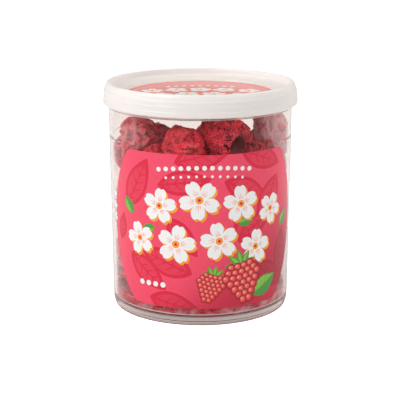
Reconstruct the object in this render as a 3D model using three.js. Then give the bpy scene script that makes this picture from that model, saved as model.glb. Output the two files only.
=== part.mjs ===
// A clear round tub of freeze-dried raspberries, shut with a translucent press-on lid.
// Millimetres, +Z up. The origin is the middle of the tub's foot, on the surface it stands on,
// and -Y is the front, where the label faces a little to the right.
import * as THREE from "three";

// ---- Driving dimensions ----

const lidRadius = 40.5;
const totalHeight = 94.4;
const wall = 1.3; // thickness of the tub's side
const footRadius = 37.15; // outside of the tub's side, carried down to the foot
const draft = 0.0126; // growth of the side's radius for each mm of height
const floorTop = 4.2; // inside of the tub's floor
const touch = 0.3; // clearance between pieces that touch
const around = 60; // facets round the tub and the lid

const neckHeight = totalHeight - 7.8; // where the side flares out, inside the lid's skirt
const rim = { inside: 37.8, outside: 39, top: totalHeight - 2.1 };
const lidSheet = 0.9; // thickness of the lid's panel and skirt
const recess = { radius: 32, top: totalHeight - 4.9 }; // sunk panel in the lid

const label = {
  radius: 46.1, // of the circle that the label is cut from, measured along the wall
  centre: 41, // height of that circle's centre
  bottom: 7.4,
  top: 70.8,
  facing: 4, // degrees that it is turned to the right of the front
  thickness: 0.25,
  gap: 0.2,
};

const lidLabel = { radius: 30.9, thickness: 0.2, gap: 0.1 };

// The berries, as balls that nest a little into each other.
const berry = { smallest: 8.7, largest: 10.2, nest: 0.94 };
const fillLevel = 66; // height that the loose filling reaches before the crown is laid on
// The crown, berry by berry: degrees to the right of the front, reach from the axis, top and radius.
const crown = [
  { turn: -65, reach: 27.0, top: 81.0, radius: 9.3 },
  { turn: -13, reach: 26.4, top: 80.3, radius: 9.8 },
  { turn: 20.5, reach: 26.0, top: 85.6, radius: 10.0 },
  { turn: 80, reach: 27.8, top: 86.4, radius: 9.0 },
  { turn: -38, reach: 27.2, top: 72.8, radius: 9.0 },
  { turn: 49, reach: 27.2, top: 75.0, radius: 9.0 },
  { turn: -112, reach: 18.0, top: 75.8, radius: 9.2 },
  { turn: -156, reach: 18.0, top: 73.5, radius: 8.4 },
  { turn: 30, reach: 5.0, top: 75.0, radius: 9.4 },
];

const radians = THREE.MathUtils.degToRad;

function sideRadius(height) {
  return footRadius + draft * height;
}

// ---- Turned pieces ----

// Spins an outline of (radius, height) points about the Z axis.
function turned(outline, name, material) {
  const geometry = new THREE.LatheGeometry(outline, around);
  geometry.rotateX(Math.PI / 2);
  const mesh = new THREE.Mesh(geometry, material);
  mesh.name = name;
  return mesh;
}

function makeTub() {
  const neckInside = sideRadius(neckHeight) - wall;
  const floorCorner = sideRadius(floorTop) - wall;
  const path = new THREE.Path();
  path.moveTo(0, floorTop - 1.2);
  path.lineTo(footRadius - 3.1, floorTop - 1.2);
  path.lineTo(footRadius - 2.6, 0);
  path.lineTo(footRadius - 1.1, 0);
  path.quadraticCurveTo(footRadius, 0, sideRadius(1.1), 1.1);
  path.lineTo(sideRadius(neckHeight), neckHeight);
  path.lineTo(rim.outside, neckHeight + 1);
  path.lineTo(rim.outside, rim.top - 1.3);
  path.lineTo(rim.outside - 0.6, rim.top);
  path.lineTo(rim.inside + 0.4, rim.top);
  path.lineTo(rim.inside, rim.top - 0.4);
  path.lineTo(rim.inside, neckHeight + 1.8);
  path.lineTo(neckInside, neckHeight + 0.6);
  path.lineTo(floorCorner, floorTop + 2);
  path.quadraticCurveTo(floorCorner, floorTop, floorCorner - 2, floorTop);
  path.lineTo(0, floorTop);
  const clearPlastic = new THREE.MeshStandardMaterial({
    color: 0xf4f2ef,
    roughness: 0.06,
    metalness: 0,
    transparent: true,
    opacity: 0.35,
  });
  return turned(path.getPoints(2), "tub", clearPlastic);
}

function makeLid() {
  const skirtInside = lidRadius - lidSheet;
  const plug = rim.inside - touch; // outside of the wall that stands inside the tub's rim
  const plugInside = plug - lidSheet;
  const hook = sideRadius(neckHeight) + touch; // the skirt's lower edge catches under the rim
  const skirtBottom = totalHeight - 9.1;
  const path = new THREE.Path();
  path.moveTo(0, recess.top - lidSheet);
  path.lineTo(recess.radius - 0.3, recess.top - lidSheet);
  path.lineTo(recess.radius + 0.6, recess.top - 0.3);
  path.lineTo(plugInside, totalHeight - 3.7);
  path.lineTo(plug, totalHeight - 3.2);
  path.lineTo(plug, totalHeight - 1.5);
  path.lineTo(plug + 0.4, totalHeight - 1.1);
  path.lineTo(skirtInside - 1.2, totalHeight - 1.1);
  path.lineTo(skirtInside - 0.9, totalHeight - 1.5);
  path.lineTo(skirtInside, totalHeight - 3.8);
  path.lineTo(skirtInside, skirtBottom + 2.1);
  path.lineTo(hook, skirtBottom + 0.8);
  path.lineTo(hook, skirtBottom + 0.4);
  path.lineTo(hook + 0.4, skirtBottom);
  path.lineTo(lidRadius - 0.8, skirtBottom);
  path.quadraticCurveTo(lidRadius, skirtBottom, lidRadius, skirtBottom + 0.8);
  path.lineTo(lidRadius, totalHeight - 4.1);
  path.lineTo(lidRadius - 0.9, totalHeight - 2);
  path.quadraticCurveTo(lidRadius - 1.3, totalHeight, lidRadius - 2.5, totalHeight);
  path.quadraticCurveTo(plugInside, totalHeight, plugInside, totalHeight - 2.7);
  path.lineTo(recess.radius + 0.2, recess.top + 0.5);
  path.lineTo(recess.radius, recess.top);
  path.lineTo(0, recess.top);
  const milkyPlastic = new THREE.MeshStandardMaterial({
    color: 0xf0ebe6,
    roughness: 0.35,
    metalness: 0,
  });
  return turned(path.getPoints(2), "lid", milkyPlastic);
}

function makeLidLabel() {
  const paper = new THREE.MeshStandardMaterial({ color: 0xe0506a, roughness: 0.3, metalness: 0 });
  const geometry = new THREE.CylinderGeometry(
    lidLabel.radius,
    lidLabel.radius,
    lidLabel.thickness,
    around,
  );
  geometry.rotateX(Math.PI / 2);
  const mesh = new THREE.Mesh(geometry, paper);
  mesh.name = "lid_label";
  mesh.position.z = recess.top + lidLabel.gap + lidLabel.thickness / 2;
  return mesh;
}

// ---- Label round the front ----

// A closed sheet: two skins of the same grid, joined along their four edges.
function closedSheet(rows, columns, pointAt) {
  const positions = [];
  const triangles = [];
  const skinSize = (rows + 1) * (columns + 1);
  for (const skin of [0, 1])
    for (let row = 0; row <= rows; row++)
      for (let column = 0; column <= columns; column++)
        positions.push(...pointAt(row / rows, column / columns, skin));
  const at = (skin, row, column) => skin * skinSize + row * (columns + 1) + column;
  const quad = (a, b, c, d) => triangles.push(a, b, c, a, c, d);
  for (let row = 0; row < rows; row++)
    for (let column = 0; column < columns; column++) {
      quad(at(1, row, column), at(1, row, column + 1), at(1, row + 1, column + 1), at(1, row + 1, column));
      quad(at(0, row, column), at(0, row + 1, column), at(0, row + 1, column + 1), at(0, row, column + 1));
    }
  for (let row = 0; row < rows; row++) {
    quad(at(0, row, 0), at(1, row, 0), at(1, row + 1, 0), at(0, row + 1, 0));
    quad(at(1, row, columns), at(0, row, columns), at(0, row + 1, columns), at(1, row + 1, columns));
  }
  for (let column = 0; column < columns; column++) {
    quad(at(0, 0, column), at(0, 0, column + 1), at(1, 0, column + 1), at(1, 0, column));
    quad(at(1, rows, column), at(1, rows, column + 1), at(0, rows, column + 1), at(0, rows, column));
  }
  const geometry = new THREE.BufferGeometry();
  geometry.setAttribute("position", new THREE.Float32BufferAttribute(positions, 3));
  geometry.setIndex(triangles);
  geometry.computeVertexNormals();
  return geometry;
}

function makeFrontLabel() {
  const pointAt = (up, across, skin) => {
    const height = THREE.MathUtils.lerp(label.bottom, label.top, up);
    const radius = sideRadius(height) + label.gap + skin * label.thickness;
    const halfChord = Math.sqrt(label.radius ** 2 - (height - label.centre) ** 2);
    const turn = radians(label.facing) + ((2 * across - 1) * halfChord) / sideRadius(height);
    return [radius * Math.sin(turn), -radius * Math.cos(turn), height];
  };
  const film = new THREE.MeshStandardMaterial({ color: 0xe63c5c, roughness: 0.25, metalness: 0 });
  const mesh = new THREE.Mesh(closedSheet(12, 20, pointAt), film);
  mesh.name = "front_label";
  return mesh;
}

// ---- The heap of berries ----

// Height at which a berry of this radius comes to rest over (x, y).
function restHeight(x, y, radius, laid) {
  let height = floorTop + radius;
  for (const other of laid) {
    const reach = (radius + other.radius) * berry.nest;
    const apart = Math.hypot(x - other.x, y - other.y);
    if (apart < reach) height = Math.max(height, other.z + Math.sqrt(reach ** 2 - apart ** 2));
  }
  return height;
}

// Drops each berry where it rests lowest, until the filling is level, and then lays the crown on.
function fillTub() {
  const laid = [];
  const sizes = 7; // different sizes, taken in turn
  for (let number = 0; ; number++) {
    const share = ((number * 3) % sizes) / (sizes - 1);
    const radius = THREE.MathUtils.lerp(berry.smallest, berry.largest, share);
    const farthest = sideRadius(floorTop) - wall - touch - radius;
    let best = null;
    for (const reach of [1, 0.62, 0.3, 0])
      for (let turn = 0; turn < 360; turn += 8) {
        const x = reach * farthest * Math.sin(radians(turn));
        const y = -reach * farthest * Math.cos(radians(turn));
        const z = restHeight(x, y, radius, laid);
        if (!best || z < best.z - 0.01) best = { x, y, z, radius };
      }
    if (best.z + radius > fillLevel) break;
    laid.push(best);
  }
  for (const { turn, reach, top, radius } of crown)
    laid.push({
      x: reach * Math.sin(radians(turn)),
      y: -reach * Math.cos(radians(turn)),
      z: top - radius,
      radius,
    });
  return laid;
}

// Distance from a point inside the heap, along a direction, to the outside of the farthest berry.
function outlineDistance(from, direction, berries) {
  let distance = 0;
  for (const { x, y, z, radius } of berries) {
    const offset = new THREE.Vector3(x, y, z).sub(from);
    const along = offset.dot(direction);
    const missed = offset.lengthSq() - along ** 2;
    if (missed < radius ** 2) distance = Math.max(distance, along + Math.sqrt(radius ** 2 - missed));
  }
  return distance;
}

// One solid out to the berries' outline. Each point of a plain barrel is moved along the line
// from the barrel's core to the outside of the berries there.
function makeRaspberries() {
  const berries = fillTub();
  const core = { radius: 21, bottom: 19, top: 55 }; // the barrel's own core, well inside the heap
  const least = 10; // the hollows between berries go no nearer to the core than this
  const roundness = 15;
  const barrel = new THREE.Path();
  barrel.moveTo(0, core.bottom - roundness);
  barrel.lineTo(core.radius, core.bottom - roundness);
  barrel.absarc(core.radius, core.bottom, roundness, -Math.PI / 2, 0, false);
  barrel.absarc(core.radius, core.top, roundness, 0, Math.PI / 2, false);
  barrel.lineTo(0, core.top + roundness);
  const geometry = new THREE.LatheGeometry(barrel.getSpacedPoints(32), around);
  geometry.rotateX(Math.PI / 2);
  const place = geometry.getAttribute("position");
  const point = new THREE.Vector3();
  const from = new THREE.Vector3();
  for (let i = 0; i < place.count; i++) {
    point.fromBufferAttribute(place, i);
    const radial = Math.hypot(point.x, point.y);
    const inward = Math.min(1, core.radius / Math.max(radial, 1e-6));
    const height = THREE.MathUtils.clamp(point.z, core.bottom, core.top);
    from.set(point.x * inward, point.y * inward, height);
    const direction = point.clone().sub(from).normalize();
    const reach = Math.max(least, outlineDistance(from, direction, berries));
    point.copy(from).addScaledVector(direction, reach);
    // Nothing reaches the tub's wall or floor, or the lid's panel.
    const limit = sideRadius(point.z) - wall - touch;
    const pulled = Math.min(1, limit / Math.max(Math.hypot(point.x, point.y), 1e-6));
    point.x *= pulled;
    point.y *= pulled;
    point.z = THREE.MathUtils.clamp(point.z, floorTop + touch, recess.top - lidSheet - touch);
    place.setXYZ(i, point.x, point.y, point.z);
  }
  geometry.computeVertexNormals();
  const fruit = new THREE.MeshStandardMaterial({ color: 0xa3202f, roughness: 0.85, metalness: 0 });
  const mesh = new THREE.Mesh(geometry, fruit);
  mesh.name = "raspberries";
  return mesh;
}

const part = new THREE.Group();
part.add(makeTub(), makeLid(), makeLidLabel(), makeFrontLabel(), makeRaspberries());

export default part;
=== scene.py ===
import math
from functools import partial

import bmesh
import bpy
import numpy as np
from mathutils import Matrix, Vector, noise
from mathutils.geometry import delaunay_2d_cdt


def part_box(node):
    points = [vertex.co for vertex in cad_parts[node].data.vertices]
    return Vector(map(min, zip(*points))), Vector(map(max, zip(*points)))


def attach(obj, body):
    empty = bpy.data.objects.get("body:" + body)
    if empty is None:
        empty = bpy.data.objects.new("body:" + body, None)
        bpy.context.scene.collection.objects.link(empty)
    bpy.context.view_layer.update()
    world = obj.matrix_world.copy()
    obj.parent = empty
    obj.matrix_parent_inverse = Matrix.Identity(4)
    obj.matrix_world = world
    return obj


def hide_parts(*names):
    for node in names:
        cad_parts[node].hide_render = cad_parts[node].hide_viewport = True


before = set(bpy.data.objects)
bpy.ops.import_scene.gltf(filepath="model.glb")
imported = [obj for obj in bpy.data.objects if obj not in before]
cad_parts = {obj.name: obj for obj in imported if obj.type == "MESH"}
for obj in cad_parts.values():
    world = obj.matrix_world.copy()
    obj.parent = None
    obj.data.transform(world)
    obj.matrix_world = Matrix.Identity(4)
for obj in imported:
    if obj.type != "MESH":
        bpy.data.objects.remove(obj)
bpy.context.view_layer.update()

# Sizes in this script are millimetres, with the tub standing on z = 0 and its label towards -Y.
mm = 0.001
lidLow, lidHigh = (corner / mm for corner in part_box("lid"))
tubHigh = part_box("tub")[1] / mm
labelLow, labelHigh = (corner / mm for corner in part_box("front_label"))
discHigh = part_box("lid_label")[1] / mm


def linear(hexColour):
    # sRGB hex to the linear colour that a shader takes
    channels = [int(hexColour[i:i + 2], 16) / 255 for i in (1, 3, 5)]
    return [c / 12.92 if c <= 0.04045 else ((c + 0.055) / 1.055) ** 2.4 for c in channels] + [1.0]


def addNode(tree, kind, inputs={}, **settings):
    # adds a node; an input is linked if it's given a socket or a node, and set if it's given a value
    node = tree.nodes.new("ShaderNode" + kind)
    for name, value in settings.items():
        setattr(node, name, value)
    for name, value in inputs.items():
        if isinstance(value, bpy.types.Node):
            value = value.outputs[0]
        if isinstance(value, bpy.types.NodeSocket):
            tree.links.new(value, node.inputs[name])
        else:
            node.inputs[name].default_value = value
    return node


def newMaterial(name):
    # the material, and what adds a node to it
    material = bpy.data.materials.new(name)
    material.use_nodes = True
    material.node_tree.nodes.clear()
    return material, partial(addNode, material.node_tree)


def moulded(add, place, width, detail, strength, depth):
    # the relief that a mould leaves, with the width and the depth of its waves in millimetres
    waves = add("TexNoise", {"Vector": place, "Scale": 1 / (width * mm), "Detail": detail})
    return add("Bump", {"Height": waves, "Strength": strength, "Distance": depth * mm})


def letThrough(add, surface, colour, rays=("Is Shadow Ray",)):
    # ends the material of a plastic that these rays pass straight through, a little dimmed
    opening = add("BsdfTransparent", {"Color": linear(colour)})
    path = add("LightPath")
    for ray in rays:
        surface = add("MixShader", {0: path.outputs[ray], 1: surface, 2: opening})
    add("OutputMaterial", {"Surface": surface})


def makePiece(name, points, faces, materials):
    # points in millimetres; the piece rides on the one body that the part has
    mesh = bpy.data.meshes.new(name)
    mesh.from_pydata(np.asarray(points, float) * mm, [], faces, shade_flat=False)
    piece = bpy.data.objects.new(name, mesh)
    bpy.context.collection.objects.link(piece)
    for material in materials:
        mesh.materials.append(material)
    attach(piece, "root")
    return piece


def setValues(piece, name, values):
    # one number for each vertex, for the material to read
    attribute = piece.data.attributes.new(name, "FLOAT", "POINT")
    attribute.data.foreach_set("value", np.asarray(values, np.float32))


def roundedOutline(corners, steps=6):
    # corners are (distance from the axis, height, rounding). Each rounding is an arc, with a point
    # held just before and after it, so that the flats beside it shade flat.
    outline = [np.array(corners[0][:2], float)]
    for before, corner, after in zip(corners[:-2], corners[1:-1], corners[2:]):
        tip = np.array(corner[:2], float)
        sides = [np.array(other[:2], float) - tip for other in (before, after)]
        reach = min(corner[2], *(0.4 * np.linalg.norm(side) for side in sides))
        back, on = (side / np.linalg.norm(side) * reach for side in sides)
        outline.append(tip + 1.2 * back)
        for share in np.linspace(0, 1, steps + 1):
            outline.append(tip + (1 - share) ** 2 * back + share ** 2 * on)
        outline.append(tip + 1.2 * on)
    outline.append(np.array(corners[-1][:2], float))
    return np.array(outline)


def turnedPoints(outline, segments):
    # Spins an outline that starts and ends on the axis. Its two ends come last.
    turns = np.linspace(0, 2 * math.pi, segments, endpoint=False)
    circle = np.stack([np.sin(turns), -np.cos(turns)], 1)
    rings = [np.column_stack([circle * r, np.full(segments, z)]) for r, z in outline[1:-1]]
    return np.concatenate(rings + [[[0, 0, outline[0][1]]], [[0, 0, outline[-1][1]]]])


def turnedFaces(outline, segments):
    # for an outline that runs from the foot up its outside
    around = np.arange(segments)
    onward = np.roll(around, -1)
    last = (len(outline) - 3) * segments
    foot, head = last + segments, last + segments + 1
    faces = []
    for low in range(0, last, segments):
        high = low + segments
        faces += np.stack([low + around, low + onward, high + onward, high + around], 1).tolist()
    faces += [[a, b, foot] for a, b in zip(onward, around)]
    faces += [[last + a, last + b, head] for a, b in zip(around, onward)]
    return faces


def turnedPiece(name, outline, segments, material):
    points, faces = turnedPoints(outline, segments), turnedFaces(outline, segments)
    return makePiece(name, points, faces, [material])


tub = dict(
    rimOutside=tubHigh.x, rimInside=37.8, rimTop=tubHigh.z,
    neck=lidHigh.z - 7.8,  # where the side flares out, inside the lid's skirt
    footRadius=37.15, draft=0.0126, wall=1.3, floor=4.2, floorSheet=0.9,
    footRing=2.6,          # width of the ring that it stands on
    bead=lidLow.z - 0.95, beadHeight=0.8, beadProud=0.4,   # the ledge just under the lid
    film=0.08, filmFrom=4.9, filmTo=72.3, filmEdge=0.25,   # the clear film that the label is printed on
    segments=256,
    tint="#F5F2F0", gloss="#484848",      # of the clear plastic and of what it reflects
    passing="#FDFBF9",                    # what it takes from light on its way to the berries
    # the haze's pink tint is a painted glow of light from the berries, scattered in the wall
    haze=0.13, hazeTint="#FFE6DE",        # pale bloom where the wall is seen edge on
    frost="#E8D8D6",                      # of the etched underside
    # reliefs of the mould, (width, detail, strength, depth): the slow waves of the wall, and the
    # etching, which is drawn coarser than it is so that it shows
    ripple=(9, 1.0, 0.25, 0.05), etching=(0.6, 2.0, 0.4, 0.05),
    # the small steps in the foot's outside: (how far in, height, rounding)
    footSteps=[(0.6, 0, 0.3), (0.6, 0.9, 0.1), (0.3, 1.2, 0.1), (0.3, 1.6, 0.1), (0, 2.05, 0.1)],
)


def sideRadius(height):
    return tub["footRadius"] + tub["draft"] * height


def insideRadius(height):
    return sideRadius(height) - tub["wall"]


def clearPolypropylene():
    # Clarified polypropylene, injection moulded: clear and glossy, with the faint ripple of a moulded
    # wall. Rays from the lamps pass straight in, so the berries are lit as through real thin plastic.
    material, add = newMaterial("clarified_polypropylene_moulded")
    place = add("TexCoord").outputs["Object"]
    plastic = add("BsdfPrincipled", {
        "Base Color": linear(tub["tint"]), "Roughness": 0.04, "IOR": 1.49,
        "Normal": moulded(add, place, *tub["ripple"]),
        "Specular Tint": linear(tub["gloss"]), "Transmission Weight": 1.0,
        # the sheen's pink tint is a painted glow of light from the berries
        "Sheen Weight": tub["haze"], "Sheen Roughness": 0.4, "Sheen Tint": linear(tub["hazeTint"])})
    letThrough(add, plastic, tub["passing"], ("Is Diffuse Ray", "Is Shadow Ray"))
    return material


def etchedPolypropylene():
    # The same plastic where the mould is etched under the foot: frosted, so it glows a dull grey.
    material, add = newMaterial("clarified_polypropylene_etched")
    place = add("TexCoord").outputs["Object"]
    frost = add("BsdfPrincipled", {
        "Base Color": linear(tub["frost"]), "Roughness": 0.5, "IOR": 1.49, "Transmission Weight": 0.35,
        "Normal": moulded(add, place, *tub["etching"])})
    letThrough(add, frost, tub["passing"])
    return material


def makeTub():
    t = tub
    under = t["floor"] - t["floorSheet"]
    ringInside = t["footRadius"] - t["footRing"]
    beadFoot = sideRadius(t["bead"])
    corners = [
        (0, under, 0),
        (ringInside - 0.6, under, 0.8),
        (ringInside, 0, 0.4),
        *[(t["footRadius"] - inwards, height, rounding) for inwards, height, rounding in t["footSteps"]],
        *[(sideRadius(t[level]) + t["film"] * out, t[level] + t["filmEdge"] * up, 0.05)
          for level, out, up in (("filmFrom", 0, -1), ("filmFrom", 1, 0), ("filmTo", 1, 0),
                                 ("filmTo", 0, 1))],
        *[(beadFoot + t["beadProud"] * out, t["bead"] + t["beadHeight"] * up, 0.1)
          for out, up in ((0, 0), (1, 0.5), (1, 0.8), (0, 1))],
        (sideRadius(t["neck"]), t["neck"], 0.8),
        (t["rimOutside"], t["neck"] + 1.0, 0.5),
        (t["rimOutside"], t["rimTop"] - 1.3, 0.5),
        (t["rimOutside"] - 0.6, t["rimTop"], 0.3),
        (t["rimInside"], t["rimTop"], 0.4),
        (t["rimInside"], t["neck"] + 1.8, 0.8),
        (insideRadius(t["neck"]), t["neck"] + 0.5, 0.8),
        (insideRadius(t["floor"]), t["floor"], 0.7),
        (0, t["floor"], 0),
    ]
    outline = roundedOutline(corners)
    piece = turnedPiece("tub_wall", outline, t["segments"], clearPolypropylene())
    piece.data.materials.append(etchedPolypropylene())
    for face in piece.data.polygons:
        facesDown = face.center.z < (under + 0.18) * mm and face.normal.z < -0.7
        face.material_index = int(facesDown and face.center.xy.length < (ringInside - 0.3) * mm)
    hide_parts("tub")


makeTub()
print("tub made")


lid = dict(
    radius=lidHigh.x, top=lidHigh.z, bottom=lidLow.z, sheet=0.9,
    recessRadius=32.0, recessTop=lidHigh.z - 4.9, segments=256,
    skirt="#F5F2F0", clouded="#F0EDEA",   # the skirt's colour, and where the plastic is a little duller
    # the rim's colour is a painted glow of light through the doubled plastic; the slope's is painted
    # shade
    rim="#FCFBFA", thin="#EAE6E1",        # of the doubled rim, and of the slope and panel
    passing="#D0CCC8", backlit=0.25,      # what it takes from light, and how much glows through
    cloud=14,              # width of its clouds
    # the mould's satin, drawn coarser than it is so that it shows: (width, detail, strength, depth)
    satin=(0.8, 2.0, 0.15, 0.02),
    # the skirt's stepped outside from its foot up: (how far in, height above the foot, rounding)
    skirtSteps=[(0.8, 0, 0.2), (0, 0.5, 0.2), (0, 2.2, 0.2), (0.2, 2.5, 0.2), (0.2, 4.5, 0.2),
                (0.4, 4.8, 0.2), (0.45, 6.4, 0.2), (0.8, 6.8, 0.2)],
)


def naturalPolypropylene():
    # Natural polypropylene, injection moulded: milky and translucent with a satin skin. Its colour is
    # painted whitest at the rim, where it is doubled, as a painted glow of light through the plastic,
    # and darker on the slope and the panel, which are thin over the fruit, as painted shade.
    material, add = newMaterial("natural_polypropylene_moulded")
    place = add("TexCoord").outputs["Object"]
    cloud = add("TexNoise", {"Vector": place, "Scale": 1 / (lid["cloud"] * mm), "Detail": 3.0})
    colour = add("Mix", {0: cloud, 6: linear(lid["skirt"]), 7: linear(lid["clouded"])},
                 data_type="RGBA")
    level = add("VectorMath", {0: place, 1: (1.0, 1.0, 0.0)}, operation="MULTIPLY")
    reach = add("VectorMath", {0: level}, operation="LENGTH")
    # painted glow over the rim and the plug wall, painted shade over the slope and the panel
    for zone, outside, inside in (("rim", 1.4, 0.6), ("thin", -0.8, -2.4)):
        share = add("MapRange", {
            "Value": reach.outputs["Value"], "From Min": (tub["rimInside"] + outside) * mm,
            "From Max": (tub["rimInside"] + inside) * mm})
        colour = add("Mix", {0: share, 6: colour.outputs[2], 7: linear(lid[zone])}, data_type="RGBA")
    satin = moulded(add, place, *lid["satin"])
    dullness = add("MapRange", {"Value": cloud, "To Min": 0.26, "To Max": 0.36})
    plastic = add("BsdfPrincipled", {
        "Base Color": colour.outputs[2], "Roughness": dullness, "IOR": 1.49, "Normal": satin,
        "Subsurface Weight": 0.4, "Subsurface Radius": (1.0, 0.95, 0.9), "Subsurface Scale": 0.8 * mm})
    throughGlow = add("BsdfTranslucent", {"Color": linear(lid["skirt"]), "Normal": satin})
    milky = add("MixShader", {0: lid["backlit"], 1: plastic, 2: throughGlow})
    letThrough(add, milky, lid["passing"])
    return material


def makeLid():
    # plug wall inside the tub's rim, hook under it, and a skirt that steps in towards the top
    top, bottom, sheet, edge = lid["top"], lid["bottom"], lid["sheet"], lid["radius"]
    clearance = 0.3
    plug = tub["rimInside"] - clearance
    hook = sideRadius(tub["neck"]) + clearance
    panel, recess = lid["recessTop"], lid["recessRadius"]
    corners = [
        (0, panel - sheet, 0),
        (recess - 0.3, panel - sheet, 0.4),
        (recess + 0.6, panel - 0.3, 0.4),
        (plug - sheet, top - 3.7, 0.5),
        (plug, top - 3.2, 0.3),
        (plug, top - 1.1, 0.4),
        (edge - sheet - 1.0, top - 1.1, 0.4),
        (edge - sheet, top - 3.8, 0.5),
        (edge - sheet, bottom + 2.1, 0.4),
        (hook, bottom + 0.8, 0.2),
        (hook, bottom, 0.2),
        *[(edge - inwards, bottom + up, rounding) for inwards, up, rounding in lid["skirtSteps"]],
        (edge - 1.1, top - 1.1, 0.5),
        (edge - 1.6, top, 0.5),
        (plug - 0.3, top, 0.7),
        (plug - sheet, top - 2.7, 0.6),
        (recess + 0.2, panel + 0.5, 0.3),
        (recess, panel, 0.3),
        (0, panel, 0),
    ]
    outline = roundedOutline(corners, 4)
    piece = turnedPiece("lid_shell", outline, lid["segments"], naturalPolypropylene())
    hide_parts("lid")


makeLid()
print("lid made")


inkFilm = dict(
    mottle=1.5, roughness=0.22,
    # which way the deepened inks darken, and where along it, from the middle of the foot
    fadeDirection=(1.0, 0.0, -1.1), fadeStart=-33, fadeEnd=4,
)


def printedInk(name, hexColour, mottle, deepened=None):
    # Ink printed on polypropylene film and sealed under its gloss: an even colour with a slight mottle.
    # A deepened ink grows darker towards the label's lower right, fading in along the way.
    material, add = newMaterial(name)
    place = add("TexCoord").outputs["Object"]
    mottleWidth = inkFilm["mottle"] * mm
    cloud = add("TexNoise", {"Vector": place, "Scale": 1 / mottleWidth, "Detail": 3.0})
    colour = add("Mix", {0: cloud, 6: linear(hexColour), 7: linear(mottle)}, data_type="RGBA")
    if deepened:
        along = add("VectorMath", {0: place, 1: inkFilm["fadeDirection"]}, operation="DOT_PRODUCT")
        share = add("MapRange", {
            "Value": along.outputs["Value"], "From Min": inkFilm["fadeStart"] * mm,
            "From Max": inkFilm["fadeEnd"] * mm}, interpolation_type="SMOOTHSTEP")
        colour = add("Mix", {0: share, 6: colour.outputs[2], 7: linear(deepened)}, data_type="RGBA")
    ink = add("BsdfPrincipled", {
        "Base Color": colour.outputs[2], "Roughness": inkFilm["roughness"], "IOR": 1.49,
        "Specular IOR Level": 0.45})
    add("OutputMaterial", {"Surface": ink})
    return material


inkColours = dict(  # ink: (colour, colour of its mottle, what it deepens to)
    coral=("#F24867", "#EA405E", "#C4163A"),
    crimson=("#E00C3E", "#D40A38", "#A8082A"),
    shade=("#E63252", "#DE2C4A", "#B41032"),
    salmon=("#E47B74", "#DC736D"),
    amber=("#F5A11C", "#EF9512"),
    white=("#F4F4F3", "#E9EAEA"),
    lime=("#8CC63F", "#7DB83A"),
    green=("#4E9A3E", "#428C37"),
    rose=("#F9A79A", "#F59A8E"),
    red=("#D01C28", "#C41624"),
    blush=("#EA5C54", "#E4524C"),
    wine=("#880A16", "#7C0812"),
)
inks = {name: printedInk("film_print_" + name, *colours) for name, colours in inkColours.items()}
inkOrder = list(inks)


def stepped(outline, step=1.3):
    # the same outline with no side longer than step, so that it can follow a curved wall
    points = []
    for start, end in zip(outline, np.roll(outline, -1, axis=0)):
        count = max(1, math.ceil(np.linalg.norm(end - start) / step))
        points += [start + (end - start) * i / count for i in range(count)]
    return np.array(points)


def turnedBy(outline, degrees, centre):
    angle = math.radians(degrees)
    turn = np.array([[math.cos(angle), math.sin(angle)], [-math.sin(angle), math.cos(angle)]])
    return outline @ turn + centre


def disc(centre, radius, sides=28):
    turns = np.linspace(0, 2 * math.pi, sides, endpoint=False)
    return np.array(centre) + radius * np.stack([np.cos(turns), np.sin(turns)], 1)


def blossomOutline(radius, petals=5, notch=0.42):
    turns = np.linspace(0, 2 * math.pi, 90, endpoint=False)
    lobe = np.abs(np.cos(petals / 2 * turns))
    dent = 0.1 * np.clip(1 - (1 - lobe) * 30, 0, 1)
    reach = radius * (notch + (1 - notch) * lobe ** 0.6 - dent)
    return np.stack([reach * np.cos(turns), reach * np.sin(turns)], 1)


def leafOutline(length, width, teeth=0, trim=0.0):
    # along +x from its stalk; trim draws the edge inwards
    along = np.linspace(0, 1, 41)
    half = width / 2 * np.sin(math.pi * along ** 0.85) ** 0.85
    if teeth:
        half = half * (1 + 0.16 * (1 - (along * teeth) % 1))
    half = np.maximum(half - trim, 0)
    x = trim + along * (length - 2 * trim)
    upper = np.stack([x, half], 1)
    lower = np.stack([x, -half], 1)[-2:0:-1]
    return np.concatenate([upper, lower])


def tapered(start, end, width, tip=0.4):
    # a straight stroke that narrows
    start, end = np.array(start, float), np.array(end, float)
    side = np.array([-(end - start)[1], (end - start)[0]]) / np.linalg.norm(end - start) * width / 2
    return np.array([start + side, end + side * tip, end - side * tip, start - side])


def leafVeins(length, width, count, stroke):
    veins = [tapered((0, 0), (length * 0.94, 0), stroke * 1.4)]
    for number in range(1, count + 1):
        root = length * number / (count + 1.2)
        spread = width * 0.36 * math.sin(math.pi * (number / (count + 1)) ** 0.85)
        for side in (-1, 1):
            veins.append(tapered((root, 0), (root + spread * 0.9, side * spread), stroke))
    return veins


def contains(outline, points):
    # which of the points lie inside the outline
    low, high = outline.min(0), outline.max(0)
    near = np.flatnonzero(((points >= low) & (points <= high)).all(1))
    x, y = points[near].T
    found = np.zeros(len(near), bool)
    for (x0, y0), (x1, y1) in zip(outline, np.roll(outline, -1, axis=0)):
        if y0 != y1:
            found ^= ((y0 > y) != (y1 > y)) & (x < (x1 - x0) * (y - y0) / (y1 - y0) + x0)
    return near[found]


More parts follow.
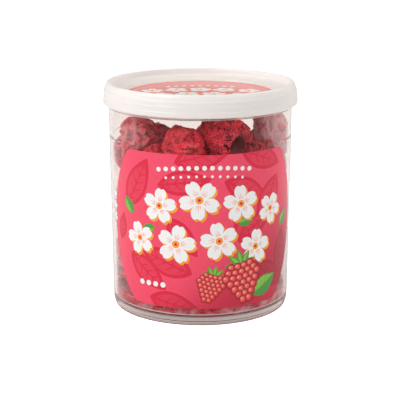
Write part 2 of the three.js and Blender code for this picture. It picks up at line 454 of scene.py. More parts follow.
def printedSheet(name, border, shapes, lay, thickness, ground="coral"):
    # One closed sheet whose front faces carry the ink of the last shape that covers them.
    # lay turns flat points and a lift into points in space, with the way that they face.
    border = stepped(border)
    low, high = border.min(0), border.max(0)
    gridStep, gridShift = 1.6, (0.31, 0.17)  # the shift keeps it off the points of the outlines
    columns, rows = (np.arange(low[i], high[i], gridStep) for i in range(2))
    grid = np.stack(np.meshgrid(columns, rows), -1).reshape(-1, 2) + gridShift
    inset = 0.01  # of the way to the middle
    grid = grid[contains(border * (1 - inset) + border.mean(0) * inset, grid)]
    loops = [border] + [stepped(outline) for ink, outline in shapes]
    points = [Vector(point) for point in np.concatenate(loops + [grid])]
    edges = []
    for loop in loops:
        first = len(edges)
        edges += [(first + i, first + (i + 1) % len(loop)) for i in range(len(loop))]
    flat, _, triangles, *_ = delaunay_2d_cdt(points, edges, [], 1, 1e-3, False)
    flat = np.array([list(point) for point in flat])
    triangles = np.array(triangles)
    a, b, c = (flat[triangles[:, i]] for i in range(3))
    area = (b[:, 0] - a[:, 0]) * (c[:, 1] - a[:, 1]) - (b[:, 1] - a[:, 1]) * (c[:, 0] - a[:, 0])
    triangles[area < 0] = triangles[area < 0][:, ::-1]
    triangles = triangles[np.abs(area) > 1e-6]
    middle = flat[triangles].mean(1)
    within = contains(border, middle)
    triangles, middle = triangles[within], middle[within]
    used, corner = np.unique(triangles, return_inverse=True)
    flat, triangles = flat[used], corner.reshape(-1, 3)
    ink = np.full(len(triangles), inkOrder.index(ground))
    for shapeInk, outline in shapes:
        ink[contains(outline, middle)] = inkOrder.index(shapeInk)
    front, facing = lay(flat, thickness)
    back, _ = lay(flat, 0)
    sides = np.concatenate([triangles[:, [0, 1]], triangles[:, [1, 2]], triangles[:, [2, 0]]])
    paired = {tuple(side) for side in sides}
    rim = [(i, j) for i, j in sides if (j, i) not in paired]
    size = len(flat)
    faces = triangles.tolist() + (triangles[:, ::-1] + size).tolist()
    faces += [[j, i, i + size, j + size] for i, j in rim]
    piece = makePiece(name, np.concatenate([front, back]), faces, inks.values())
    slots = ink.tolist() + [inkOrder.index("white")] * (len(faces) - len(ink))
    piece.data.polygons.foreach_set("material_index", slots)
    piece.data.normals_split_custom_set_from_vertices(np.concatenate([facing, -facing]))
    return piece


label = dict(
    radius=46.1, centre=41.0, bottom=labelLow.z, top=labelHigh.z, corner=1.3,
    facing=4.0,  # degrees to the right of the front
    lift=0.02, thickness=0.08,
)
# Tone on tone leaves: (across, up, length, width, turn), from the label's middle line and the foot.
toneLeaves = [
    (-36, 47, 24, 11, 62), (-20, 58, 22, 10, 8), (7, 60, 22, 10, -24), (33, 60, 24, 11, -118),
    (38, 36, 22, 10, -96), (-34, 28, 22, 10, -38), (-6, 22, 24, 11, 158), (20, 24, 22, 10, -30),
    (-16, 45, 20, 9, -52), (12, 46, 20, 9, -62), (28, 45, 18, 8, -150), (-41, 32, 12, 6, 80),
    (-13, 67.5, 24, 11, 14), (14, 72, 22, 10, -20), (-24, 11, 22, 10, -12),
]
# White blossoms: (across, up, radius, turn)
blossoms = [
    (-19.5, 49.5, 7.4, 10), (-3.0, 52.6, 8.4, 48), (14.0, 50.4, 7.8, 22), (29.0, 46.5, 6.6, 60),
    (-29.0, 35.0, 7.0, 35), (-12.5, 34.2, 8.2, 5), (5.0, 35.6, 8.0, 30), (21.0, 31.8, 7.4, 12),
]
# Green leaves: (across, up, length, width, turn)
greenLeaves = [(-32.5, 44.5, 8.5, 4.4, 128), (36.5, 37.5, 8.0, 4.2, 50), (-21.5, 40.6, 7.0, 3.6, 200),
               (13.0, 42.0, 7.0, 3.6, 15), (20.0, 11.5, 14.0, 7.4, 28)]
berryDrawings = [(1.6, 17.2, 0.78, -16), (15.2, 19.4, 1.12, 10)]   # (across, up, scale, turn)
# Rows of white dots: (middle, up, count, spacing, radius, sag)
labelDots = [(-1, 65.6, 13, 3.1, 0.95, 1.2), (-1, 62.2, 11, 3.1, 0.55, 1.0),
             (-23, 16.6, 4, 3.3, 1.15, 0.0)]


def labelHalf(height):
    # half the label's width along the wall: a circle cut off above and below, with soft corners
    chord = math.sqrt(label["radius"] ** 2 - (height - label["centre"]) ** 2)
    short = max(0.0, label["corner"] - min(height - label["bottom"], label["top"] - height))
    return chord - label["corner"] + math.sqrt(label["corner"] ** 2 - short ** 2)


def labelBorder():
    half = (label["top"] - label["bottom"]) / 2
    middle = (label["top"] + label["bottom"]) / 2
    heights = middle + half * np.sin(np.linspace(-math.pi / 2, math.pi / 2, 81))
    right = np.array([(labelHalf(height), height) for height in heights])
    return np.concatenate([right, right[::-1] * (-1, 1)])


def onWall(flat, lift):
    across, height = flat.T
    radius = sideRadius(height) + tub["film"] + label["lift"] + lift
    turn = math.radians(label["facing"]) + across / sideRadius(height)
    facing = np.stack([np.sin(turn), -np.cos(turn), np.zeros(len(turn))], 1)
    points = facing * radius[:, None]
    points[:, 2] = height
    return points, facing


def placed(shapes, turn, across, up):
    return [(ink, turnedBy(outline, turn, (across, up))) for ink, outline in shapes]


def toneLeaf(across, up, length, width, turn):
    stroke = 1.3
    shapes = [("crimson", leafOutline(length, width)), ("shade", leafOutline(length, width, 0, stroke))]
    shapes += [("crimson", vein) for vein in leafVeins(length, width - stroke, 5, 0.7)]
    return placed(shapes, turn, across, up)


def blossom(across, up, radius, turn):
    centre = np.array([across, up])
    petals = blossomOutline(radius)
    shapes = [("amber", turnedBy(petals, turn, centre + (0.75, -0.85))),
              ("white", turnedBy(petals, turn, centre))]
    for petal in range(5):
        angle = turn + 72 * petal
        for spread in (-14, 0, 14):
            line = tapered((radius * 0.27, 0), (radius * (0.56 if spread == 0 else 0.47), 0), 0.42)
            shapes.append(("rose", turnedBy(line, angle + spread, centre)))
    shapes.append(("amber", disc(centre, radius * 0.19)))
    shapes.append(("crimson", disc(centre, radius * 0.08, 12)))
    return shapes


def greenLeaf(across, up, length, width, turn):
    # a toothed green leaf with a lime upper half
    teeth = 7
    inner = leafOutline(length, width, teeth, 0.35)
    shapes = [("green", leafOutline(length, width, teeth)), ("lime", inner[:len(inner) // 2 + 2])]
    shapes += [("green", vein) for vein in leafVeins(length, width, 5, 0.32)]
    return placed(shapes, turn, across, up)


def berryDrawing(across, up, scale, turn):
    # shaded drupelets in rows that narrow to the tip, under a green cap
    shapes = []
    for spread in (-76, -40, 0, 40, 76):
        shapes.append(("green", turnedBy(leafOutline(6.4, 2.6), spread + 90, (0, 4.6))))
        shapes.append(("lime", turnedBy(leafOutline(5.6, 1.2), spread + 90, (0, 4.8))))
    for row, count in enumerate((4, 5, 6, 5, 4, 3, 2)):
        for number in range(count):
            side = number - (count - 1) / 2
            centre = np.array([side * 2.55, 4.4 - row * 2.1 + 0.12 * side ** 2])
            for ink, radius, shift in (("wine", 1.8, 0), ("red", 1.5, 0.06), ("blush", 1.0, 0.24),
                                       ("rose", 0.42, 0.5)):
                shapes.append((ink, disc(centre + (-shift, 1.1 * shift), radius, 20)))
    return placed([(ink, outline * scale) for ink, outline in shapes], turn, across, up)


def dotRow(middle, up, count, spacing, radius, sag):
    # a row of white dots whose ends hang lower by sag
    half = (count - 1) / 2
    steps = np.arange(count) - half
    return [("white", disc((middle + step * spacing, up - sag * (step / half) ** 2), radius, 16))
            for step in steps]


def makeFrontLabel():
    shapes = []
    for draw, places in ((toneLeaf, toneLeaves), (greenLeaf, greenLeaves), (blossom, blossoms),
                         (berryDrawing, berryDrawings), (dotRow, labelDots)):
        for place in places:
            shapes += draw(*place)
    piece = printedSheet("label_film", labelBorder(), shapes, onWall, label["thickness"])
    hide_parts("front_label")


makeFrontLabel()
print("front label made")

lidDisc = dict(
    lift=0.03, thickness=0.08, ringIn=1.4, ringWidth=0.6,
    blossomRows=[(5, 6.5, 4.9), (4, -5.0, 5.3)],   # (count, up, radius)
    bow=0.008,                                     # how the rows curve down to their ends
    # (up, count, spacing, radius, sag)
    dotRows=[(17.0, 9, 3.4, 0.95, 3.0), (-15.5, 7, 3.4, 0.95, -1.5)],
    apart=2.05,        # of the blossoms, beside their radius
    turnedOn=31,       # degrees from one blossom to the next
)


def onLid(flat, lift):
    points = np.column_stack([flat, np.full(len(flat), lid["recessTop"] + lidDisc["lift"] + lift)])
    return points, np.tile((0.0, 0.0, 1.0), (len(flat), 1))


def makeLidLabel():
    radius = discHigh.x
    ring = radius - lidDisc["ringIn"]
    shapes = [("crimson", disc((0, 0), ring, 120)),
              ("salmon", disc((0, 0), ring - lidDisc["ringWidth"], 120))]
    for count, up, size in lidDisc["blossomRows"]:
        for number in range(count):
            across = (number - (count - 1) / 2) * lidDisc["apart"] * size
            turn = 90 + lidDisc["turnedOn"] * number
            shapes += blossom(across, up - lidDisc["bow"] * across ** 2, size, turn)
    for row in lidDisc["dotRows"]:
        shapes += dotRow(0, *row)
    piece = printedSheet("lid_film", disc((0, 0), radius, 180), shapes, onLid, lidDisc["thickness"],
                         ground="salmon")
    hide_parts("lid_label")


makeLidLabel()
print("lid label made")


# small white blossoms over the clear wall and the label's left end
sidePrint = dict(across=-47.0, middle=45.0, spacing=4.6, radius=2.5, turnedOn=24, lift=0.1,
                 thickness=0.04)


def makeSidePrint():
    # a column of them, each a thin closed slab
    mark = sidePrint
    points, faces = [], []
    for number in (-1, 0, 1):
        centre = np.array([[mark["across"], mark["middle"] + number * mark["spacing"]]])
        petals = turnedBy(blossomOutline(mark["radius"]), mark["turnedOn"] * number, centre)
        flat = np.concatenate([petals, centre])
        size = len(flat)
        back = 2 * size * (number + 1)
        front = back + size
        points += [onWall(flat, mark["lift"])[0], onWall(flat, mark["lift"] + mark["thickness"])[0]]
        for i in range(size - 1):
            j = (i + 1) % (size - 1)
            faces += [[front + i, front + j, front + size - 1], [back + j, back + i, back + size - 1],
                      [back + i, back + j, front + j, front + i]]
    makePiece("side_print", np.concatenate(points), faces, [inks["white"]])


makeSidePrint()
print("side print made")


berry = dict(
    drupelet=2.9, spacingSpread=(0.92, 1.06),     # spacing of the drupelets
    rowsApart=0.88, strayed=(0.07, 0.09),         # of their rings, and how far they stray from them
    fullness=0.62, fullnessSpread=(0.8, 1.2),     # a drupelet's radius beside the spacing
    drawn=0.5,         # how far drying has drawn them out of round
    cutOff=(0.55, 1.0), flattened=0.8,            # how high up a top is flattened, and how much
    sunkMost=0.6, burstDepth=(0.8, 1.3),          # how deep tops sink, and burst ones
    pitWidth=0.8, pitDepth=0.8,                   # the shape of a sunk top
    edge=0.8,          # where they fade out inside the rim, beside the spacing
    toneSpread=0.24,   # from one drupelet to the next
    crumbly=((0.13, 1.3), (0.42, 0.5), (1.0, 0.3), (2.2, 0.16)),   # (waves in a millimetre, depth)
    lean=0.05,         # how far a berry leans, beside its height
    shaded="#560E22", ripe="#B61226", fresh="#F02639",   # the skin's tones, from dull to bright
    # below: painted shade for the bumps' dents, pale flecks that are partly a painted highlight on the
    # grain's raised points, and painted shade between the drupelets
    sunk="#8E0C22", fleckAndHighlight="#EE6E80", creviceShade="#560818",
    core="#A2585E",    # the pale inside of the hollow
    bloom="#E4ACB4",   # dust of crumbled fruit
    # of the skin's pulp, its grain and the patches of dust: (width, detail, roughness)
    mottles=((1.3, 4.0, 0.7), (0.5, 3.0, 0.7), (5, 4.0, 0.5)),
)
# How the berries lie. The loose ones start in layers of rings, sink and push one another apart.
heap = dict(
    seed=41, layers=4, lowest=9.6, layerHeight=15.6,
    rings=((8, 26.4), (3, 9.5)),   # (berries in a ring, its radius)
    smallest=8.8, largest=10.0,    # radius of a loose berry
    steps=500, sinkingSteps=420, sink=0.1,
    nest=0.95,         # how near two berries' middles may come, beside the sum of their radii
    wallNest=0.985,    # how near a berry's middle may come to the wall, beside its radius
    berryGap=0.04, wallGap=0.12, floorGap=0.1,
    # a berry doesn't show nearer the axis than hiddenReach, or between the labelTurns (degrees) and
    # more than labelHides under the label's top
    hiddenReach=18, labelTurns=(-40, 46), labelHides=9,
    inPiece=9, splits=28, hiddenSplits=16,   # berries in a piece, and how finely they're meshed
)
# The crown's berries. turn is in degrees to the right of the front, reach is from the axis, and top is
# a height. burst is the share of drupelets that has broken open, hollow is the way that the berry opens,
# tone runs from dull to bright, and shape stretches the berry. Without those two they're left to chance.
crownKeys = ("seed", "turn", "reach", "top", "radius", "dust", "relief", "burst", "hollow", "tone",
             "shape")
crown = [dict(zip(crownKeys, row)) for row in (
    (441, -64, 27.0, 81.2, 9.0, 0.65, 0.8, 0.1, (0.15, 0.2, -1.0), 0.7),
    (462, -13, 26.4, 80.3, 9.9, 0.15, 0.85, 0.16, (-0.2, 0.9, -0.4), 1.0),
    (443, 20.4, 26.0, 84.4, 10.0, 0.05, 0.85, 0.24, (0.72, -0.68, -0.18), 0.5, (0.93, 0.95, 0.98)),
    # berry D's heavy dust is partly real dust and partly a painted reflection of the wall's pale veil
    (214, 80, 29.6, 83.5, 9.4, 2.0, 0.7, 0.08, (0.28, 0.1, -1.0), 1.0, (0.84, 0.84, 1.3)),
    (5, -93, 27.9, 73.4, 9.4, 0.1, 0.8, 0.1, (0.8, 0.3, -0.5), 0.95),
    (6, -38, 27.2, 72.8, 9.0, 0.1, 0.9, 0.1, (0.5, 0.8, -0.2)),
    (7, 46, 27.2, 74.2, 9.0, 0.1, 0.9, 0.1, (-0.8, 0.5, -0.3)),
    (8, -112, 18.0, 74.6, 9.2, 0.4, 0.8, 0.15, (0.2, -0.3, -0.9)),
    (9, -156, 18.0, 72.4, 8.4, 0.3, 0.8, 0.15, (0.5, 0.5, -0.6)),
    (10, 30, 5.0, 75.0, 9.4, 0.45, 0.8, 0.15, (0.1, 0.9, -0.3)),
)]


def freezeDriedRaspberry():
    # Freeze-dried raspberry: a dry, matt, sponge-like skin in random tones of red. Painted shade
    # darkens it between the drupelets, in their sunk tops and in the dents of its bumps. Pale flecks
    # on the grain's raised points are partly pulp and partly a painted highlight, and a pale pink dust
    # of crumbled fruit lies over some berries.
    material, add = newMaterial("freeze_dried_raspberry")
    place = add("TexCoord").outputs["Object"]
    creviceShade, tone, dust, inside = (
        add("Attribute", attribute_name=name).outputs["Fac"]
        for name in ("creviceShade", "tone", "dust", "inside"))
    pulp, grain, patch = (
        add("TexNoise", {
            "Vector": place, "Scale": 1 / (width * mm), "Detail": detail, "Roughness": rough})
        for width, detail, rough in berry["mottles"])
    skin = linear(berry["shaded"])
    # tones, then painted shade in the pulp's dents, flecks partly painted as highlights on the grain's
    # peaks, painted shade in the crevices, and the hollow's inside
    for driver, start, end, layer in (
        (tone, 0.0, 0.3, "ripe"), (tone, 0.3, 1.0, "fresh"), (pulp, 0.5, 0.3, "sunk"),
        (grain, 0.5, 0.66, "fleckAndHighlight"), (creviceShade, 0.26, 0.9, "creviceShade"), (inside, 0.0, 1.0, "core"),
    ):
        share = add("MapRange", {"Value": driver, "From Min": start, "From Max": end})
        skin = add("Mix", {0: share, 6: skin, 7: linear(berry[layer])}, data_type="RGBA").outputs[2]
    patchShare = add("MapRange", {"Value": patch, "From Min": 0.36, "From Max": 0.66})
    bloomShare = add("Math", {0: patchShare, 1: dust}, operation="MULTIPLY", use_clamp=True)
    bloomed = add("Mix", {0: bloomShare, 6: skin, 7: linear(berry["bloom"])}, data_type="RGBA")
    lumps = add("Bump", {"Height": pulp, "Strength": 0.8, "Distance": 0.35 * mm})
    grit = add("Bump", {"Height": grain, "Strength": 0.7, "Distance": 0.15 * mm, "Normal": lumps})
    fruit = add("BsdfPrincipled", {
        "Base Color": bloomed.outputs[2], "Roughness": 0.75, "IOR": 1.4, "Specular IOR Level": 0.2,
        "Normal": grit})
    add("OutputMaterial", {"Surface": fruit})
    return material


fruitMaterial = freezeDriedRaspberry()


def evenSphere(splits):
    # an icosahedron with each side split into this many parts, blown out to a sphere
    bm = bmesh.new()
    bmesh.ops.create_icosphere(bm, subdivisions=1, radius=1.0)
    bmesh.ops.subdivide_edges(bm, edges=bm.edges, cuts=splits - 1, use_grid_fill=True)
    bm.verts.index_update()
    points = np.array([vertex.co.normalized() for vertex in bm.verts])
    faces = np.array([[vertex.index for vertex in face.verts] for face in bm.faces])
    bm.free()
    return points, faces


def thimbleProfile():
    # from the tip over the side and the rim into the hollow: (distance from the axis, height)
    knots = np.array([(0, 1.0), (0.42, 0.9), (0.74, 0.6), (0.93, 0.18), (1.0, -0.28), (0.93, -0.66),
                      (0.76, -0.88), (0.63, -0.9), (0.54, -0.72), (0.47, -0.35), (0.35, 0.05), (0, 0.2)])
    mirrored = np.concatenate([[knots[1] * (-1, 1)], knots, [knots[-2] * (-1, 1)]])
    curve = []
    for a, b, c, d in zip(mirrored, mirrored[1:], mirrored[2:], mirrored[3:]):
        for share in np.linspace(0, 1, 12, endpoint=False):
            curve.append(0.5 * (2 * b + (c - a) * share + (2 * a - 5 * b + 4 * c - d) * share ** 2
                                + (3 * b - a - 3 * c + d) * share ** 3))
    curve.append(knots[-1])
    return np.maximum(np.array(curve), (0, -2))


profile = thimbleProfile()
profileSteps = np.linalg.norm(np.diff(profile, axis=0), axis=1)
profileLength = np.concatenate([[0], np.cumsum(profileSteps)])
ringArea = np.concatenate([[0], np.cumsum(profileSteps * (profile[1:, 0] + profile[:-1, 0]) / 2)])
rimLength = profileLength[np.argmin(profile[:, 1])]


def onProfile(length):
    return np.stack([np.interp(length, profileLength, profile[:, i]) for i in range(2)], -1)


def profileNormal(length):
    step = 0.02
    along = onProfile(length + step) - onProfile(length - step)
    normal = np.stack([-along[:, 1], along[:, 0]], 1)
    return normal / np.linalg.norm(normal, axis=1)[:, None]


def spun(length, turn):
    # a point of the profile and its normal, turned about the berry's axis
    c, s = np.cos(turn), np.sin(turn)
    return [np.stack([flat[:, 0] * c, flat[:, 0] * s, flat[:, 1]], 1)
            for flat in (onProfile(length), profileNormal(length))]


def drupelets(rng, radius):
    # rings of drupelets from the tip to just inside the rim
    spacing = berry["drupelet"] / radius * rng.uniform(*berry["spacingSpread"])
    along, aside = berry["strayed"]
    lengths, turns = [], []
    length, start = spacing * 0.1, rng.uniform(0, 6)
    while length < rimLength + spacing * 0.6:
        around = max(1, round(2 * math.pi * float(onProfile(length)[0]) / spacing))
        start += math.pi / around + rng.uniform(0, 0.3)
        for number in range(around):
            lengths.append(length + rng.normal(0, along) * spacing)
            turns.append(start + 2 * math.pi * (number + rng.normal(0, aside)) / around)
        length += spacing * berry["rowsApart"]
    return spacing, np.clip(lengths, 0, None), np.array(turns)


def roughness(points, seed, layers):
    # noise summed over layers, each with its waves in a millimetre and its depth
    total = np.zeros(len(points))
    for wave, depth in layers:
        total += depth * np.array([noise.noise(Vector(point) * wave + seed) for point in points])
    return total


def wander(points, wave, seed):
    # a drift for each point: the same noise read at three places far apart
    shifts = [seed + Vector(shift) for shift in ((0, 0, 0), (31.4, 17.2, 5.9), (-12.7, 43.1, 28.3))]
    return np.array([[noise.noise(Vector(point) * wave + shift) for shift in shifts]
                     for point in points])


def berryMesh(spec, sphere):
    # A closed thimble whose outside swells into drupelets. Drying has drawn them out of round and sunk
    # their tops, and some have broken open.
    rng = np.random.default_rng(spec["seed"])
    directions, faces = sphere
    area = (1 - directions[:, 2]) / 2 * ringArea[-1]
    length = np.interp(area, ringArea, profileLength)
    turn = np.arctan2(directions[:, 1], directions[:, 0])
    base, normal = spun(length, turn)
    spacing, lengths, turns = drupelets(rng, spec["radius"])
    centres, _ = spun(lengths, turns)
    seed = Vector(rng.uniform(-90, 90, 3))
    warp = wander(base, 3.0, seed) + 0.5 * wander(base, 7.0, seed)
    full = spacing * berry["fullness"] * rng.uniform(*berry["fullnessSpread"], len(centres))
    top = rng.uniform(*berry["cutOff"], len(centres))
    sunk = rng.uniform(0, berry["sunkMost"], len(centres)) ** 1.5
    burst = rng.random(len(centres)) < spec["burst"]
    sunk[burst] = rng.uniform(*berry["burstDepth"], burst.sum())
    apart = np.linalg.norm((base + berry["drawn"] * spacing * warp)[:, None] - centres[None], axis=2)
    swell = np.sqrt(np.clip(full[None] ** 2 - apart ** 2, 0, None))
    chosen = np.where(burst[None], swell * 1.2, swell).argmax(1)
    rows = np.arange(len(base))
    share = apart[rows, chosen] / full[chosen]
    domed = swell[rows, chosen]
    flat = domed - np.clip(domed - top[chosen] * full[chosen], 0, None) * berry["flattened"]
    pit = np.clip(1 - (share / berry["pitWidth"]) ** 2, 0, 1) * sunk[chosen]
    height = (flat - pit * full[chosen] * berry["pitDepth"]) * spec["relief"]
    edge = spacing * berry["edge"]
    outside = np.clip((rimLength + edge - length) / edge, 0, 1)
    ridge = domed / (spacing * berry["fullness"])
    # painted shade: darkest in the valleys between the drupelets and in their sunk tops
    creviceShade = np.clip(np.maximum(1 - ridge, pit * 0.6), 0, 1) * outside
    raised = base * (1 - 0.6 * spacing * spec["relief"]) + normal * (height * outside + 0.02)[:, None]
    tone = rng.normal(spec.get("tone", 0.5), berry["toneSpread"], len(centres))
    tone = np.clip(tone[chosen], 0, 1)
    # uneven: stretched, leaning and lumpy, with a torn and crumbly skin
    stretch = spec.get("shape", (rng.uniform(0.92, 1.02), rng.uniform(0.9, 1.0), rng.uniform(0.98, 1.1)))
    raised *= spec["radius"] * np.array(stretch)
    raised += normal * roughness(raised, seed, berry["crumbly"])[:, None]
    raised[:, 0] += berry["lean"] * raised[:, 2] * rng.uniform(-1, 1)
    axisZ = -np.array(spec["hollow"], float) / np.linalg.norm(spec["hollow"])
    axisX = np.cross(axisZ, (0.3, 0.5, 0.8))
    axisX /= np.linalg.norm(axisX)
    rotation = np.stack([axisX, np.cross(axisZ, axisX), axisZ])
    dust = np.full(len(base), spec["dust"])
    return raised @ rotation + spec["centre"], faces, (creviceShade, tone, 1 - outside, dust)


def startPlaces(rng):
    # where the loose berries start
    places = []
    for layer in range(heap["layers"]):
        level = tub["floor"] + heap["lowest"] + layer * heap["layerHeight"]
        for count, reach in heap["rings"]:
            for number in range(count):
                turn = 2 * math.pi * (number + 0.5 * (layer % 2)) / count + rng.normal(0, 0.05)
                height = level + rng.normal(0, 1.0)
                places.append((reach * math.sin(turn), -reach * math.cos(turn), height))
    return places


def settle(rng):
    # Lets the loose berries sink, and pushes apart what overlaps. The crown stays where it is.
    specs = []
    for spec in crown:
        turn, reach = math.radians(spec["turn"]), spec["reach"]
        height = spec["top"] - spec["radius"]
        specs.append(dict(spec, centre=(reach * math.sin(turn), -reach * math.cos(turn), height)))
    pinned = len(specs)
    for seed, place in enumerate(startPlaces(rng)):
        hollow = rng.normal(0, 1, 3)
        specs.append(dict(centre=place, radius=rng.uniform(heap["smallest"], heap["largest"]),
                          dust=rng.uniform(0, 0.5), relief=rng.uniform(0.6, 1.0),
                          burst=rng.uniform(0.05, 0.2), hollow=hollow, seed=100 + seed))
    centre = np.array([spec["centre"] for spec in specs], float)
    radius = np.array([spec["radius"] for spec in specs])
    free = np.arange(len(specs)) >= pinned
    reach = (radius[:, None] + radius[None]) * heap["nest"]
    for step in range(heap["steps"]):
        if step < heap["sinkingSteps"]:
            centre[free, 2] -= heap["sink"]
        gap = centre[:, None] - centre[None]
        apart = np.linalg.norm(gap, axis=2) + np.eye(len(specs)) * 1e3  # never too near itself
        push = np.clip(reach - apart, 0, None) * 0.5
        move = (gap / apart[..., None] * push[..., None]).sum(1)
        centre[free] += move[free]
        limit = insideRadius(centre[:, 2]) - radius * heap["wallNest"]
        radial = np.hypot(centre[:, 0], centre[:, 1])
        pull = np.where(radial > limit, limit / radial, 1.0)
        centre[free, :2] *= pull[free, None]
        centre[free, 2] = np.maximum(centre[free, 2], tub["floor"] + radius[free])
    for spec, place in zip(specs, centre):
        spec["centre"] = place
    return specs


def keepClear(points, spec):
    # flattens a berry where it meets its neighbours, the wall, the floor and the lid
    for other in allBerries:
        between = other["centre"] - spec["centre"]
        apart = np.linalg.norm(between)
        if other is spec or apart > 1.25 * (spec["radius"] + other["radius"]):
            continue
        toward = between / apart
        plane = (apart ** 2 + spec["radius"] ** 2 - other["radius"] ** 2) / (2 * apart)
        past = np.clip((points - spec["centre"]) @ toward - plane + heap["berryGap"], 0, None)
        points -= toward * past[:, None]
    limit = insideRadius(points[:, 2]) - heap["wallGap"]
    radial = np.hypot(points[:, 0], points[:, 1])
    points[:, :2] *= np.minimum(1, limit / radial)[:, None]
    ceiling = lid["recessTop"] - lid["sheet"]
    points[:, 2] = np.clip(points[:, 2], tub["floor"] + heap["floorGap"], ceiling - heap["floorGap"])
    return points


def makeBerries(name, chosen, splits):
    sphere = evenSphere(splits)
    points, faces, skins = [], [], []
    for spec in chosen:
        shape, sides, skin = berryMesh(spec, sphere)
        faces.append(sides + len(shape) * len(points))
        points.append(keepClear(shape, spec))
        skins.append(skin)
    piece = makePiece(name, np.concatenate(points), np.concatenate(faces), [fruitMaterial])
    for key, values in zip(("creviceShade", "tone", "inside", "dust"), zip(*skins)):
        setValues(piece, key, np.concatenate(values))
    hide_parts("raspberries")
    print(name, len(chosen), "berries")


def isHidden(spec):
    x, y, z = spec["centre"]
    left, right = heap["labelTurns"]
    facesLabel = left < math.degrees(math.atan2(x, -y)) < right
    behindLabel = facesLabel and z < label["top"] - heap["labelHides"]
    return behindLabel or math.hypot(x, y) <= heap["hiddenReach"]


allBerries = settle(np.random.default_rng(heap["seed"]))
loose = allBerries[len(crown):]
shown = [spec for spec in loose if not isHidden(spec)]
makeBerries("raspberries_top", allBerries[:len(crown)], heap["splits"])
for number, start in enumerate(range(0, len(shown), heap["inPiece"])):
    side = shown[start:start + heap["inPiece"]]
    makeBerries(f"raspberries_side_{number + 1}", side, heap["splits"])
makeBerries("raspberries_deep", [spec for spec in loose if isHidden(spec)], heap["hiddenSplits"])


crumbs = dict(
    seed=11, segments=240,
    middle=5.2, bank=8.8,                # the bed's height in the middle and at the wall
    footIn=0.9, levels=(5.0, 5.6, 6.4, 7.4),      # its foot, and the levels of its even side
    # its top's rings, and the reach at which it would stand at the bank's height, with its power
    rings=24, widest=35.4, narrowest=2, brim=36, rise=4,
    thinnest=0.3,
    crumbly=((0.3, 0.9), (0.9, 0.5), (2.0, 0.3)),   # (waves in a millimetre, depth)
)


def makeCrumbBed():
    # Fine crumbs that have sifted to the floor: an uneven bed that is higher against the wall and lies
    # close to it down to the floor.
    seed = Vector(np.random.default_rng(crumbs["seed"]).uniform(-50, 50, 3))
    middle, bank, segments = crumbs["middle"], crumbs["bank"], crumbs["segments"]
    foot = tub["floor"] + heap["wallGap"]
    even = [(insideRadius(foot) - crumbs["footIn"], foot)]
    even += [(insideRadius(up) - heap["wallGap"], up) for up in crumbs["levels"]]
    uneven = [(insideRadius(bank) - heap["wallGap"], bank)]
    uneven += [(reach, middle + (bank - middle) * (reach / crumbs["brim"]) ** crumbs["rise"])
               for reach in np.linspace(crumbs["widest"], crumbs["narrowest"], crumbs["rings"])]
    section = [(0, foot), *even, *uneven, (0, middle)]
    points = turnedPoints(section, segments)
    lifted = slice(len(even) * segments, -2)
    lift = roughness(points[lifted], seed, crumbs["crumbly"])
    points[lifted, 2] = np.maximum(points[lifted, 2] + lift, foot + crumbs["thinnest"])
    piece = makePiece("crumb_bed", points, turnedFaces(section, segments), [fruitMaterial])
    away = Vector((7, 7, 7))
    for key, level, start, layers in (
        # painted shade in random patches, standing for the gaps between crumbs
        ("creviceShade", 0.3, seed, ((0.8, 0.5), (1.7, 0.4))),
        ("tone", 0.45, -seed, ((0.5, 0.6), (1.4, 0.4))),
        ("dust", 0.6, seed + away, ((0.25, 0.8), (0.9, 0.8))),
    ):
        setValues(piece, key, level + roughness(points, start, layers))
    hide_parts("raspberries")


makeCrumbBed()
print("crumbs made")


studio = dict(
    distance=513.3, aside=-0.12, cameraHeight=171.86, tilt=14.063, lens=112.15,
    floor="#F4F4F4", floorGlow=1.0,                    # the paper, and how it glows to the camera
    # seen through the plastic the paper glows pink: painted light under the tub, and a painted
    # reflection of the berries
    seen="#D4D2D0", seenPaintedReflection="#F6E8E6", seenGlow=0.45,   # the paper as seen through the plastic
    air="#FFFBF7", airGlow=0.34,
    paperWidth=8, aim=(0, 0, 0.05),                      # in metres, as the lamps are
)
# The lamps are square softboxes: (where in metres, width in metres, watts)
lamps = dict(
    key_softbox=((-1.0, -0.72, 1.2), 0.9, 16.5),
    top_softbox=((0.1, 0.35, 1.3), 1.2, 4.0),
    fill_softbox=((1.2, -0.9, 0.9), 1.0, 5.4),
    right_softbox=((1.36, 0.66, 0.6), 1.6, 7.5),
    left_softbox=((-1.5, 0.2, 0.5), 1.3, 3.6),
)


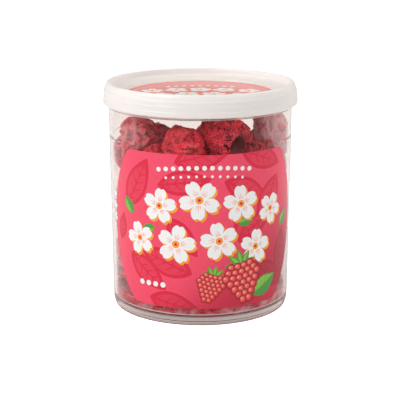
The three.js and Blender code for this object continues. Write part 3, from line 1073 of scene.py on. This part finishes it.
def makeStudio():
    # the paper is brighter to the camera than in the light that it gives back. Seen through the plastic
    # it
    # glows evenly with a pink tint: painted light that lifts the shadow under the tub, and a painted
    # reflection of the berries.
    material, add = newMaterial("studio_floor_paper")
    paper = add("BsdfPrincipled", {"Base Color": linear(studio["floor"]), "Roughness": 0.9})
    lit, through = (
        add("BsdfPrincipled", {
            "Base Color": linear(studio[base]), "Roughness": 0.9,
            "Emission Color": linear(studio[tint]), "Emission Strength": studio[glow]})
        for base, tint, glow in (("floor", "floor", "floorGlow"), ("seen", "seenPaintedReflection", "seenGlow")))
    path = add("LightPath")
    unseen = add("MixShader", {0: path.outputs["Is Transmission Ray"], 1: paper, 2: through})
    whole = add("MixShader", {0: path.outputs["Is Camera Ray"], 1: unseen, 2: lit})
    add("OutputMaterial", {"Surface": whole})
    bpy.ops.mesh.primitive_plane_add(size=studio["paperWidth"])
    floor = bpy.context.object
    floor.name = "studio_floor"
    floor.data.materials.append(material)

    world = bpy.data.worlds.new("studio_air")
    world.use_nodes = True
    world.node_tree.nodes.clear()
    add = partial(addNode, world.node_tree)
    glow = add("Background", {"Color": linear(studio["air"]), "Strength": studio["airGlow"]})
    backdrop = add("Background", {"Color": (1, 1, 1, 1), "Strength": 1.0})
    seen = add("LightPath").outputs["Is Camera Ray"]
    air = add("MixShader", {0: seen, 1: glow, 2: backdrop})
    add("OutputWorld", {"Surface": air})
    scene = bpy.context.scene
    scene.world = world
    scene.view_settings.view_transform = "Standard"

    aim = Vector(studio["aim"])
    for name, (place, size, watts) in lamps.items():
        light = bpy.data.lights.new(name, "AREA")
        light.shape = "SQUARE"
        light.size = size
        light.energy = watts
        lamp = bpy.data.objects.new(name, light)
        bpy.context.collection.objects.link(lamp)
        lamp.location = place
        lamp.rotation_euler = (aim - lamp.location).to_track_quat("-Z", "Y").to_euler()

    camera = bpy.data.cameras.new("studio_camera")
    camera.sensor_width = 36
    camera.lens = studio["lens"]
    camera.clip_start = 0.01
    holder = bpy.data.objects.new("studio_camera", camera)
    bpy.context.collection.objects.link(holder)
    holder.location = (studio["aside"] * mm, -studio["distance"] * mm, studio["cameraHeight"] * mm)
    holder.rotation_euler = (math.radians(90 - studio["tilt"]), 0, 0)
    scene.camera = holder


makeStudio()
print("studio made")
